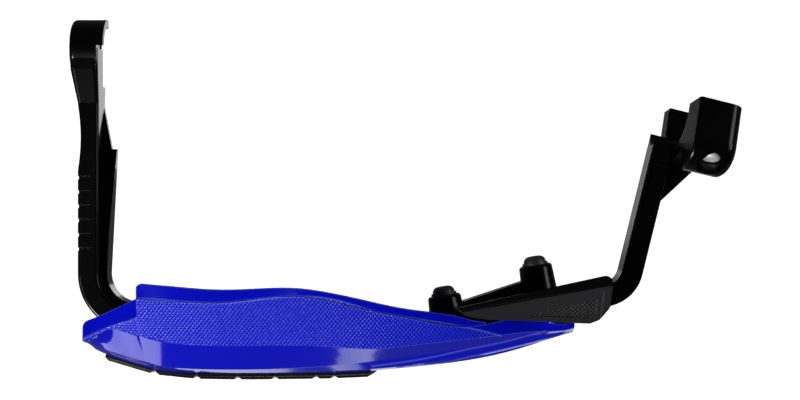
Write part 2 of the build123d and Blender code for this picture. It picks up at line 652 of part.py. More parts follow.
# End panel, open underneath: crowned wall with a raised rim, a sunk grip field and two posts
post_seats = (WEB_HEIGHT / 2, HALF_HEIGHT)
with BuildPart() as panel_faces:
    loft(section_faces([(x, panel_face_section(x, PANEL_FACE_DEPTH)) for x in face_stations]))
with BuildPart() as panel_grip:
    grip_depth = PANEL_FACE_DEPTH + PANEL_GRIP_DEPTH
    loft(section_faces([(x, panel_face_section(x, grip_depth)) for x in face_stations]))
    with BuildSketch(Plane.XY):
        Polygon(*[(x, y - OUTER_ARM_LENGTH) for x, y in PANEL_GRIP], align=None)
    extrude(amount=2 * PANEL_TOP_Z, mode=Mode.INTERSECT)
with BuildPart() as post_solids:
    for place, seat in zip(panel_posts, post_seats):
        with BuildSketch(Plane.XY.offset(seat)):
            with Locations(place):
                Circle(PANEL_POST_RADIUS)
        extrude(amount=PANEL_TOP_Z - seat)
    loft(section_faces([(x, panel_space_section(x)) for x in PANEL_STATIONS]), mode=Mode.INTERSECT)
with BuildPart() as end_panel:
    loft(section_faces([(x, wall_section(panel_corners(x), PANEL_WALL)) for x in PANEL_STATIONS]))
    with BuildSketch(Plane.XY):
        Polygon(*[(x, y - OUTER_ARM_LENGTH) for x, y in PANEL_OUTLINE], align=None)
        fillet(vertices().sort_by(Axis.Y)[-1], PANEL_REAR_CORNER_RADIUS)
        fillet(vertices().group_by(Axis.X)[-1].sort_by(Axis.Y)[0], PANEL_CORNER_RADIUS)
    extrude(amount=2 * PANEL_TOP_Z, mode=Mode.INTERSECT)
    add(panel_faces.part, mode=Mode.SUBTRACT)
    add(panel_grip.part, mode=Mode.SUBTRACT)
    add(post_solids.part)
    for place, seat in zip(panel_posts, post_seats):
        with BuildSketch(Plane.XY.offset(seat)):
            with Locations(place):
                Circle(PANEL_SCREW_RADIUS + THREAD_CLEARANCE)
        extrude(amount=PANEL_SCREW_GRIP + CUT_MARGIN, mode=Mode.SUBTRACT)
end_panel.part.label = "end_panel"
export_step(end_panel.part, "parts/end_panel.step")

# Front pads, each held by studs pushed through the shield
for number, (left, right) in enumerate(pads, start=1):
    width = right - left - PAD_GAP
    plane = pad_plane(left, right)
    with BuildPart() as pad:
        with BuildSketch(plane):
            Polygon(
                (-width / 2, PAD_HEIGHT / 2),
                (width / 2, PAD_HEIGHT / 2),
                (width / 2 + PAD_SLANT, -PAD_HEIGHT / 2),
                (-width / 2 + PAD_SLANT, -PAD_HEIGHT / 2),
                align=None,
            )
        extrude(amount=PAD_PROUD)
        chamfer(edges().group_by(Axis(plane.origin, plane.z_dir))[-1], PAD_CHAMFER)
        extrude(faces().sort_by(Axis(plane.origin, plane.z_dir))[0], amount=PAD_SINK)
        add(shield.part, mode=Mode.SUBTRACT)
        with BuildSketch(plane):
            with Locations(*stud_places(right - left)):
                Circle(STUD_RADIUS)
        extrude(amount=-SHIELD_WALL - STUD_HEAD_GAP)
        with BuildSketch(plane.offset(-SHIELD_WALL - STUD_HEAD_GAP)):
            with Locations(*stud_places(right - left)):
                Circle(STUD_HEAD_RADIUS)
        extrude(amount=-STUD_HEAD_HEIGHT)
    pad.part.label = f"pad_{number}"
    export_step(pad.part, f"parts/pad_{number}.step")

# Shield screws and the inserts that they turn into
for number, fixing in enumerate(FIXINGS, start=1):
    seat = fixing_plane(fixing).offset(fixing[2])
    with BuildPart() as shield_screw:
        with BuildSketch(seat):
            Circle(SCREW_HEAD_RADIUS)
        extrude(amount=SCREW_HEAD_HEIGHT)
        fillet(edges().group_by(Axis(seat.origin, seat.z_dir))[-1], SCREW_DOME_RADIUS)
        with BuildSketch(seat):
            Circle(SCREW_FLANGE_RADIUS)
        extrude(amount=SCREW_FLANGE_HEIGHT)
        with BuildSketch(seat.offset(SCREW_HEAD_HEIGHT)):
            RegularPolygon(SOCKET_RADIUS, 6)
        extrude(amount=-SOCKET_DEPTH, mode=Mode.SUBTRACT)
        with BuildSketch(seat):
            Circle(SCREW_RADIUS)
        extrude(amount=-(fixing[2] + bar_front + INSERT_LENGTH))
    shield_screw.part.label = f"shield_screw_{number}"
    export_step(shield_screw.part, f"parts/shield_screw_{number}.step")
    with BuildPart() as insert:
        with BuildSketch(fixing_plane(fixing).offset(-bar_front)):
            Circle(INSERT_RADIUS)
            Circle(SCREW_RADIUS + THREAD_CLEARANCE, mode=Mode.SUBTRACT)
        extrude(amount=-INSERT_LENGTH)
    insert.part.label = f"insert_{number}"
    export_step(insert.part, f"parts/insert_{number}.step")

# Clamp screw in the saddle's boss
with BuildPart() as clamp_screw:
    with BuildSketch(screw_plane):
        Circle(CLAMP_HEAD_RADIUS)
    extrude(amount=CLAMP_HEAD_HEIGHT)
    fillet(edges().group_by(Axis(screw_plane.origin, screw_plane.z_dir))[-1], CLAMP_HEAD_EDGE_RADIUS)
    with BuildSketch(screw_plane.offset(CLAMP_HEAD_HEIGHT)):
        RegularPolygon(CLAMP_SOCKET_RADIUS, 6)
    extrude(amount=-SOCKET_DEPTH, mode=Mode.SUBTRACT)
    with BuildSketch(screw_plane):
        Circle(CLAMP_SCREW_RADIUS)
    extrude(amount=-CLAMP_SCREW_LENGTH)
clamp_screw.part.label = "clamp_screw"
export_step(clamp_screw.part, "parts/clamp_screw.step")

# Panel screws, from under the spar
for number, (place, seat) in enumerate(zip(panel_posts, post_seats), start=1):
    with BuildPart() as panel_screw:
        with BuildSketch(Plane.XY.offset(-seat)):
            with Locations(place):
                Circle(PANEL_SCREW_HEAD_RADIUS)
        extrude(amount=-PANEL_SCREW_HEAD_HEIGHT)
        fillet(edges().group_by(Axis.Z)[0], PANEL_SCREW_HEAD_HEIGHT / 2)
        with BuildSketch(Plane.XY.offset(-seat)):
            with Locations(place):
                Circle(PANEL_SCREW_RADIUS)
        extrude(amount=2 * seat + PANEL_SCREW_GRIP)
    panel_screw.part.label = f"panel_screw_{number}"
    export_step(panel_screw.part, f"parts/panel_screw_{number}.step")
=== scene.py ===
"""Looks of the motorcycle hand guard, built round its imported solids. Metres, +Z up."""
import json
from math import pi

import bpy
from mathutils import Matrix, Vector


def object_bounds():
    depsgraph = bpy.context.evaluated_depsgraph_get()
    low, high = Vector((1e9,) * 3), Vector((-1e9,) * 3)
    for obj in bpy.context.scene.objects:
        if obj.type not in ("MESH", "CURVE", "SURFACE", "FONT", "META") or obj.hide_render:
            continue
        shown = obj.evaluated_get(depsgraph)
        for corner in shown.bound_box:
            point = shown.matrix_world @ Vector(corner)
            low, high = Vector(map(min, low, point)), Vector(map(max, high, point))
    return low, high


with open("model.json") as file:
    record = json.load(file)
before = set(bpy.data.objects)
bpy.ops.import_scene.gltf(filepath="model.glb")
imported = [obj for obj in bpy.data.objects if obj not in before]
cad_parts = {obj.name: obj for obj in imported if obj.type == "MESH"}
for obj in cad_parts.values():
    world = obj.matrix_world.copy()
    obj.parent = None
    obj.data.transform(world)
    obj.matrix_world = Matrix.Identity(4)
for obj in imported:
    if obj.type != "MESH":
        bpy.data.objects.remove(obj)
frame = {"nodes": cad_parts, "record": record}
cad_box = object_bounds()

# The photograph looks straight down on the guard
VIEW_CENTRE = (0.12205, -0.05775)
VIEW_WIDTH = 0.308
CAMERA_HEIGHT = 0.650
SENSOR_WIDTH_MM = 36.0
CLIP_START = 0.01

# Studio: a dim sky, brighter to the rear, and a floor that the guard mirrors as dark, with a few pale cards
# that glow only in its mirror: painted reflections, not lamps.
# A card is its low corner and high corner, as (x, y), and its level.
FLOOR_DROP = 0.5
FLOOR_SIZE = 16.0
FLOOR_WHITE = (0.85, 0.85, 0.85, 1.0)
FLOOR_PAINTED_DARK_REFLECTION = (0.0, 0.0, 0.0, 1.0)
GLOW_WHITE = (1.0, 1.0, 1.0, 1.0)
FLOOR_ROUGHNESS = 0.9
FLOOR_GLOW = 0.76
# Glow that mirrored rays see on the floor: a painted dark reflection, brighter where the cards paint pale
# reflections
PAINTED_REFLECTION_LEVEL = 0.05
PAINTED_REFLECTION_CARDS = (
    ((0.03, -0.045), (0.117, 0.12), 1.4),
    ((0.134, -0.16), (0.20, 0.03), 0.12),
    ((0.235, -0.45), (0.34, -0.30), 1.0),
    ((-0.05, -0.42), (0.17, -0.26), 0.9),
    ((0.05, -0.772), (0.16, -0.56), 1.1),
)
SKY_LEVEL = 0.06
REAR_LEVEL = 0.5
REAR_START = 0.2

# Lamps: the left one is the main light, the right one edges the spar and its bosses, the front one fills
LAMP_TARGET = (0.12, -0.10, 0.02)
LEFT_LAMP = (-0.516, -0.634, 0.742)
LEFT_LAMP_WATTS = 10.0
RIGHT_LAMP = (1.099, 0.126, 0.467)
RIGHT_LAMP_WATTS = 1.0
SIDE_LAMP_SIZE = 0.4
FRONT_LAMP = (0.08, -0.58, 0.58)
FRONT_LAMP_TARGET = (0.20, -0.06, 0.02)
FRONT_LAMP_SIZE = 0.15
FRONT_LAMP_WATTS = 0.8
# The low lamp gives the pale patch that the shield's outboard end mirrors
LOW_LAMP = (-0.29, -0.62, -0.27)
LOW_LAMP_TARGET = (0.02, -0.115, 0.027)
LOW_LAMP_SIZE = 0.3
LOW_LAMP_WATTS = 0.6

# Creases of the shield that bound its textured band, as (x, y)
BAND_TOP = (
    (0.0055, -0.1088), (0.0124, -0.1058), (0.0162, -0.1041), (0.0268, -0.1003), (0.0272, -0.0933),
    (0.056, -0.0948), (0.085, -0.0924), (0.118, -0.0994), (0.146, -0.1047), (0.160, -0.1085),
)
BAND_FOOT = (
    (0.0055, -0.1097), (0.0124, -0.1067), (0.0162, -0.105), (0.027, -0.1072), (0.046, -0.1106),
    (0.086, -0.1107), (0.113, -0.1123), (0.129, -0.1110), (0.160, -0.1085),
)
BAND_LOWEST_Z = 0.018
DIAMOND_PITCH_X = 0.0015
DIAMOND_PITCH_Y = 0.0018
DIAMOND_HEIGHT = 0.0002
DIAMOND_CLIP = 0.7

# Fine ridges along the shield's inboard half, as (x, y)
UPPER_RIDGE = (
    (0.1113, -0.1204), (0.1209, -0.1192), (0.1307, -0.1177), (0.1457, -0.1145), (0.1645, -0.1106),
    (0.1768, -0.1069),
)
LOWER_RIDGE = (
    (0.1206, -0.1211), (0.1358, -0.1202), (0.1497, -0.1172), (0.161, -0.1147), (0.1712, -0.1123),
    (0.1865, -0.1086),
)
RIDGE_LOWEST_Z = 0.002
RIDGE_HALF_WIDTH = 0.0006
RIDGE_HEIGHT = 0.0004

# Range of the curves that follow the creases and ridges
CURVE_X = (0.0, 0.20)
CURVE_Y = (-0.13, -0.08)

# Corners of the end panel's grip field, as (x, y): tip, rear right, front right
GRIP_TIP = (0.1701, -0.1012)
GRIP_REAR = (0.1953, -0.0946)
GRIP_FRONT = (0.1929, -0.1022)
GRIP_PITCH = 0.0017
GRIP_HEIGHT = 0.0005

# Front edge of the end panel's smooth ledge, as (x, y). The ledge is painted darker as shade.
LEDGE_TIP = (0.142, -0.0998)
LEDGE_END = (0.203, -0.0888)
LEDGE_POLISH = 0.4

# Colours
SHIELD_BLUE = (0.002, 0.005, 0.56, 1.0)
# Paler blue painted along the shield's crease lines, ridges and edges as a highlight
SHIELD_PAINTED_HIGHLIGHT_BLUE = (0.09, 0.12, 0.85, 1.0)
# Painted shade in the hollows of the shield's diamond band, and painted highlight on the diamond tops
DIAMOND_HOLLOW_PAINTED_SHADE_BLUE = (0.0005, 0.003, 0.44, 1.0)
DIAMOND_TOP_PAINTED_HIGHLIGHT_BLUE = (0.020, 0.036, 0.88, 1.0)
SPAR_BLACK = (0.001, 0.001, 0.0014, 1.0)
SPAR_BLACK_WORN = (0.005, 0.005, 0.006, 1.0)
PANEL_GREY = (0.014, 0.0135, 0.015, 1.0)
PANEL_GREY_PALE = (0.030, 0.029, 0.032, 1.0)
# Painted shade on the end panel's ledge, which faces up and back
PANEL_LEDGE_PAINTED_SHADE = (0.003, 0.003, 0.0033, 1.0)
PAD_BLACK = (0.004, 0.004, 0.0045, 1.0)
PAD_BLACK_PALE = (0.016, 0.016, 0.017, 1.0)
DARK_STEEL = (0.13, 0.115, 0.11, 1.0)
DARK_STEEL_PALE = (0.27, 0.245, 0.235, 1.0)
BRIGHT_STEEL = (0.86, 0.86, 0.88, 1.0)
BRIGHT_STEEL_DULL = (0.68, 0.68, 0.70, 1.0)
INSERT_BRASS = (0.70, 0.50, 0.20, 1.0)
INSERT_BRASS_DULL = (0.45, 0.31, 0.12, 1.0)

# Surfaces: counts of grains and clouds are per metre
SHIELD_SPECULAR = 0.4
SHIELD_ROUGHNESS = 0.09
BAND_EXTRA_ROUGHNESS = 0.18
SHIELD_GRAINS = 900.0
SHIELD_GRAIN_DEPTH = 0.000003
SHIELD_EDGE_RADIUS = 0.0004
# The shield's pale edge lines are a painted highlight, laid on by the edge mask at a high gain
SHIELD_EDGE_HIGHLIGHT_RADIUS = 0.0005
SHIELD_EDGE_HIGHLIGHT_GAIN = 40.0
SPAR_SPECULAR = 0.25
SPAR_SKIN_WEIGHT = 0.4
SPAR_SKIN_ROUGHNESS = 0.05
CLOUD_PALENESS = 0.35
METAL_GRAINS = 2400.0
METAL_CLOUDS = 400.0
METAL_GRAIN_DEPTH = 0.00001
METAL_EDGE_RADIUS = 0.0002


def set_inputs(node, values):
    """Sets a node's input values by name, with _ for each space."""
    for name, value in values.items():
        node.inputs[name.replace("_", " ")].default_value = value


def add_node(tree, kind, place, **inputs):
    """A node of that kind at a place in the editor, with input values by name."""
    new = tree.nodes.new(kind)
    new.location = place
    set_inputs(new, inputs)
    return new


def add_math(tree, operation, place, *sources):
    """A Math node fed by sockets or plain values."""
    new = tree.nodes.new("ShaderNodeMath")
    new.operation = operation
    new.location = place
    for socket, source in zip(new.inputs, sources):
        if isinstance(source, bpy.types.NodeSocket):
            tree.links.new(source, socket)
        else:
            socket.default_value = source
    return new.outputs[0]


def split_axes(tree, place, kind, output):
    """X, Y and Z of an output of a new node of that kind, such as a texture coordinate."""
    source = add_node(tree, kind, place)
    axes = add_node(tree, "ShaderNodeSeparateXYZ", (place[0] + 200, place[1]))
    tree.links.new(source.outputs[output], axes.inputs[0])
    return axes


def new_group(name, inputs, outputs, output_type="NodeSocketFloat"):
    """A shader node group with float inputs and named outputs. Returns its tree, start and end nodes."""
    tree = bpy.data.node_groups.new(name, "ShaderNodeTree")
    for socket_name, value in inputs:
        socket = tree.interface.new_socket(socket_name, in_out="INPUT", socket_type="NodeSocketFloat")
        socket.default_value = value
    for socket_name in outputs:
        tree.interface.new_socket(socket_name, in_out="OUTPUT", socket_type=output_type)
    start = add_node(tree, "NodeGroupInput", (-900, 0))
    end = add_node(tree, "NodeGroupOutput", (700, 0))
    return tree, start, end


def moulded_grain_group():
    """Fine moulding grain: a height for bumps, and a slow cloudiness for colour and roughness."""
    tree, start, end = new_group(
        "moulded grain", (("Grains per metre", 1500.0), ("Clouds per metre", 60.0)), ("Height", "Cloud")
    )
    place = add_node(tree, "ShaderNodeTexCoord", (-900, 300))
    grain = add_node(tree, "ShaderNodeTexNoise", (-500, 200), Detail=3.0, Roughness=0.6)
    cloud = add_node(tree, "ShaderNodeTexNoise", (-500, -150), Detail=4.0, Roughness=0.55)
    for texture, count in ((grain, "Grains per metre"), (cloud, "Clouds per metre")):
        tree.links.new(place.outputs["Object"], texture.inputs["Vector"])
        tree.links.new(start.outputs[count], texture.inputs["Scale"])
    tree.links.new(grain.outputs["Fac"], end.inputs["Height"])
    tree.links.new(cloud.outputs["Fac"], end.inputs["Cloud"])
    return tree


def edge_wear_and_highlight_group():
    """Mask of rounded-over edges. On the black plastics it marks where handling has polished the surface; on
    the shield it lays a painted highlight along the edges.
    """
    tree, start, end = new_group("worn edge and edge highlight", (("Edge radius", 0.0006), ("Gain", 6.0)), ("Mask",))
    bevel = add_node(tree, "ShaderNodeBevel", (-600, 200))
    bevel.samples = 4
    tree.links.new(start.outputs["Edge radius"], bevel.inputs["Radius"])
    surface = add_node(tree, "ShaderNodeNewGeometry", (-600, 0))
    alike = add_node(tree, "ShaderNodeVectorMath", (-400, 100))
    alike.operation = "DOT_PRODUCT"
    tree.links.new(bevel.outputs["Normal"], alike.inputs[0])
    tree.links.new(surface.outputs["Normal"], alike.inputs[1])
    turn = add_math(tree, "SUBTRACT", (-200, 100), 1.0, alike.outputs["Value"])
    place = add_node(tree, "ShaderNodeTexCoord", (-600, -250))
    patches = add_node(tree, "ShaderNodeTexNoise", (-400, -250), Detail=4.0, Scale=300.0)
    tree.links.new(place.outputs["Object"], patches.inputs["Vector"])
    strength = add_math(tree, "MULTIPLY", (0, 100), turn, start.outputs["Gain"])
    mask = add_math(tree, "MULTIPLY", (200, 100), strength, patches.outputs["Fac"])
    clear = add_math(tree, "MINIMUM", (400, 100), mask, 1.0)
    tree.links.new(clear, end.inputs["Mask"])
    return tree


def soft_edge_group():
    """Normals that round off sharp edges, as a mould leaves them."""
    tree, start, end = new_group("soft edge", (("Edge radius", 0.0005),), ("Normal",), "NodeSocketVector")
    bevel = add_node(tree, "ShaderNodeBevel", (0, 0))
    bevel.samples = 6
    tree.links.new(start.outputs["Edge radius"], bevel.inputs["Radius"])
    tree.links.new(bevel.outputs["Normal"], end.inputs["Normal"])
    return tree


def diamond_field_group():
    """Height of a field of small raised diamonds with flat tops, laid out as seen from above."""
    pitches = (("Pitch X", DIAMOND_PITCH_X), ("Pitch Y", DIAMOND_PITCH_Y))
    tree, start, end = new_group("diamond field", pitches, ("Height",))
    axes = split_axes(tree, (-900, 300), "ShaderNodeTexCoord", "Object")
    waves = []
    for row, axis in enumerate("XY"):
        turn = add_math(tree, "DIVIDE", (-500, 300 - 200 * row), 2 * pi, start.outputs[f"Pitch {axis}"])
        phase = add_math(tree, "MULTIPLY", (-300, 300 - 200 * row), axes.outputs[axis], turn)
        waves.append(add_math(tree, "COSINE", (-100, 300 - 200 * row), phase))
    both = add_math(tree, "MULTIPLY", (100, 200), *waves)
    height = add_node(
        tree, "ShaderNodeMapRange", (300, 200), From_Min=-DIAMOND_CLIP, From_Max=DIAMOND_CLIP
    )
    tree.links.new(both, height.inputs["Value"])
    tree.links.new(height.outputs["Result"], end.inputs["Height"])
    return tree


def start_material(name):
    """A new node material. Returns the material, its tree and its Principled shader."""
    material = bpy.data.materials.new(name)
    material.use_nodes = True
    return material, material.node_tree, material.node_tree.nodes["Principled BSDF"]


def place_group(tree, group, place, **inputs):
    """A node group in a material, with input values by name."""
    new = tree.nodes.new("ShaderNodeGroup")
    new.node_tree = group
    new.location = place
    set_inputs(new, inputs)
    return new


def mix_colours(tree, place, factor, first, second):
    """A colour mix of two colours or sockets by a factor socket."""
    new = tree.nodes.new("ShaderNodeMix")
    new.data_type = "RGBA"
    new.location = place
    tree.links.new(factor, new.inputs["Factor"])
    for name, source in (("A", first), ("B", second)):
        socket = next(s for s in new.inputs if s.name == name and s.type == "RGBA")
        if isinstance(source, bpy.types.NodeSocket):
            tree.links.new(source, socket)
        else:
            socket.default_value = source
    return next(s for s in new.outputs if s.type == "RGBA")


def map_range(tree, place, value, low, high):
    """A 0 to 1 value mapped to low to high."""
    new = add_node(tree, "ShaderNodeMapRange", place, To_Min=low, To_Max=high)
    tree.links.new(value, new.inputs["Value"])
    return new.outputs["Result"]


def add_bump(tree, shader, place, height, distance, under):
    """A Bump node into the shader's Normal, over the normal of another node."""
    bump = add_node(tree, "ShaderNodeBump", place, Distance=distance)
    tree.links.new(height, bump.inputs["Height"])
    tree.links.new(under.outputs["Normal"], bump.inputs["Normal"])
    tree.links.new(bump.outputs["Normal"], shader.inputs["Normal"])
    return bump


def moulded_plastic(name, plain, pale, roughness, grains, grain_depth, edge_radius):
    """Moulded plastic with fine grain, slow cloudiness and paler, worn edges."""
    material, tree, shader = start_material(name)
    grain = place_group(tree, GRAIN, (-700, 0), Grains_per_metre=grains)
    edge_wear_and_highlight = place_group(tree, EDGE_WEAR_AND_HIGHLIGHT, (-700, -250), Edge_radius=edge_radius)
    paleness = map_range(tree, (-520, 250), grain.outputs["Cloud"], 0.0, CLOUD_PALENESS)
    cloud = mix_colours(tree, (-350, 250), paleness, plain, pale)
    colour = mix_colours(tree, (-150, 250), edge_wear_and_highlight.outputs["Mask"], cloud, pale)
    tree.links.new(colour, shader.inputs["Base Color"])
    rough = map_range(tree, (-350, 0), grain.outputs["Cloud"], *roughness)
    tree.links.new(rough, shader.inputs["Roughness"])
    edges = place_group(tree, SOFT_EDGE, (-700, -450), Edge_radius=edge_radius)
    bump = add_bump(tree, shader, (-350, -250), grain.outputs["Height"], grain_depth, edges)
    return material, tree, shader, bump


def spar_black():
    """Semi-gloss black, with a hard skin that mirrors at a shallow angle."""
    material, _, shader, _ = moulded_plastic(
        "spar black", SPAR_BLACK, SPAR_BLACK_WORN,
        roughness=(0.20, 0.30), grains=1300.0, grain_depth=0.000003, edge_radius=0.00015,
    )
    shader.inputs["Specular IOR Level"].default_value = SPAR_SPECULAR
    shader.inputs["Coat Weight"].default_value = SPAR_SKIN_WEIGHT
    shader.inputs["Coat Roughness"].default_value = SPAR_SKIN_ROUGHNESS
    return material


def pad_black():
    """Satin black of the front pads."""
    material, _, _, _ = moulded_plastic(
        "pad black", PAD_BLACK, PAD_BLACK_PALE,
        roughness=(0.18, 0.28), grains=1600.0, grain_depth=0.000006, edge_radius=0.0004,
    )
    return material


def side_of_line(tree, place, axes, start, end):
    """1 where a point lies to the rear of the line through two (x, y) places, else 0."""
    slope = (end[1] - start[1]) / (end[0] - start[0])
    line = add_math(tree, "MULTIPLY_ADD", place, axes.outputs["X"], slope, start[1] - slope * start[0])
    return add_math(tree, "GREATER_THAN", (place[0] + 180, place[1]), axes.outputs["Y"], line)


def panel_grey():
    """Matte dark grey with a smooth ledge painted near black as shade, and a field of small raised diamonds.
    """
    material, tree, shader, grain_bump = moulded_plastic(
        "panel grey", PANEL_GREY, PANEL_GREY_PALE,
        roughness=(0.42, 0.56), grains=1900.0, grain_depth=0.00005, edge_radius=0.0006,
    )
    axes = split_axes(tree, (-1700, -700), "ShaderNodeTexCoord", "Object")

    behind_rear = side_of_line(tree, (-1300, -600), axes, GRIP_TIP, GRIP_REAR)
    before_rear = add_math(tree, "SUBTRACT", (-900, -600), 1.0, behind_rear)
    behind_front = side_of_line(tree, (-1300, -800), axes, GRIP_TIP, GRIP_FRONT)
    left_of_end = add_math(tree, "LESS_THAN", (-1100, -1000), axes.outputs["X"], GRIP_REAR[0])
    inside = add_math(tree, "MULTIPLY", (-700, -700), before_rear, behind_front)
    field = add_math(tree, "MULTIPLY", (-550, -700), inside, left_of_end)
    diamonds = place_group(tree, DIAMONDS, (-900, -1000), Pitch_X=GRIP_PITCH, Pitch_Y=GRIP_PITCH)
    raised = add_math(tree, "MULTIPLY", (-400, -800), field, diamonds.outputs["Height"])
    add_bump(tree, shader, (-200, -500), raised, GRIP_HEIGHT, grain_bump)

    face_colour = shader.inputs["Base Color"].links[0].from_socket
    # Painted shade: the ledge, which faces up and back, is painted near black; it is also made smoother.
    ledge = side_of_line(tree, (-1300, -1300), axes, LEDGE_TIP, LEDGE_END)
    colour = mix_colours(tree, (-50, 450), ledge, face_colour, PANEL_LEDGE_PAINTED_SHADE)
    tree.links.new(colour, shader.inputs["Base Color"])
    face_roughness = shader.inputs["Roughness"].links[0].from_socket
    polish = add_math(tree, "MULTIPLY_ADD", (-300, 50), ledge, LEDGE_POLISH - 1.0, 1.0)
    rough = add_math(tree, "MULTIPLY", (-100, 50), face_roughness, polish)
    tree.links.new(rough, shader.inputs["Roughness"])
    return material


def plated_metal(name, plain, dull, roughness, metallic):
    """Turned metal with fine grain and duller patches, less metallic where its plating is matte."""
    material, tree, shader = start_material(name)
    shader.inputs["Metallic"].default_value = metallic
    grain = place_group(tree, GRAIN, (-700, 0), Grains_per_metre=METAL_GRAINS, Clouds_per_metre=METAL_CLOUDS)
    colour = mix_colours(tree, (-250, 250), grain.outputs["Cloud"], plain, dull)
    tree.links.new(colour, shader.inputs["Base Color"])
    rough = map_range(tree, (-350, 0), grain.outputs["Cloud"], *roughness)
    tree.links.new(rough, shader.inputs["Roughness"])
    edges = place_group(tree, SOFT_EDGE, (-700, -450), Edge_radius=METAL_EDGE_RADIUS)
    add_bump(tree, shader, (-350, -250), grain.outputs["Height"], METAL_GRAIN_DEPTH, edges)
    return material


def crease_curve(tree, place, x, points):
    """Y of a crease of the shield over x, as a socket."""
    (x_low, x_high), (y_low, y_high) = CURVE_X, CURVE_Y
    across = add_node(tree, "ShaderNodeMapRange", place, From_Min=x_low, From_Max=x_high)
    tree.links.new(x, across.inputs["Value"])
    curve = add_node(tree, "ShaderNodeFloatCurve", (place[0] + 180, place[1]))
    knots = curve.mapping.curves[0].points
    spots = [((px - x_low) / (x_high - x_low), (py - y_low) / (y_high - y_low)) for px, py in points]
    knots[0].location, knots[1].location = spots[0], spots[-1]
    for spot in spots[1:-1]:
        knots.new(*spot)
    for knot in knots:
        knot.handle_type = "AUTO_CLAMPED"
    curve.mapping.update()
    tree.links.new(across.outputs["Result"], curve.inputs["Value"])
    back = add_node(tree, "ShaderNodeMapRange", (place[0] + 440, place[1]), To_Min=y_low, To_Max=y_high)
    tree.links.new(curve.outputs["Value"], back.inputs["Value"])
    return back.outputs["Result"]


def ridge_height(tree, place, axes, points):
    """1 on the line of a fine ridge of the shield, falling to 0 beside it and past its ends."""
    line = crease_curve(tree, place, axes.outputs["X"], points)
    offset = add_math(tree, "SUBTRACT", (place[0] + 650, place[1]), axes.outputs["Y"], line)
    distance = add_math(tree, "ABSOLUTE", (place[0] + 800, place[1]), offset)
    slope = add_math(
        tree, "MULTIPLY_ADD", (place[0] + 950, place[1]), distance, -1.0 / RIDGE_HALF_WIDTH, 1.0
    )
    height = add_math(tree, "MAXIMUM", (place[0] + 1100, place[1]), slope, 0.0)
    after = add_math(tree, "GREATER_THAN", (place[0] + 800, place[1] - 150), axes.outputs["X"], points[0][0])
    before = add_math(tree, "LESS_THAN", (place[0] + 950, place[1] - 150), axes.outputs["X"], points[-1][0])
    within = add_math(tree, "MULTIPLY", (place[0] + 1100, place[1] - 150), after, before)
    return add_math(tree, "MULTIPLY", (place[0] + 1250, place[1]), height, within)


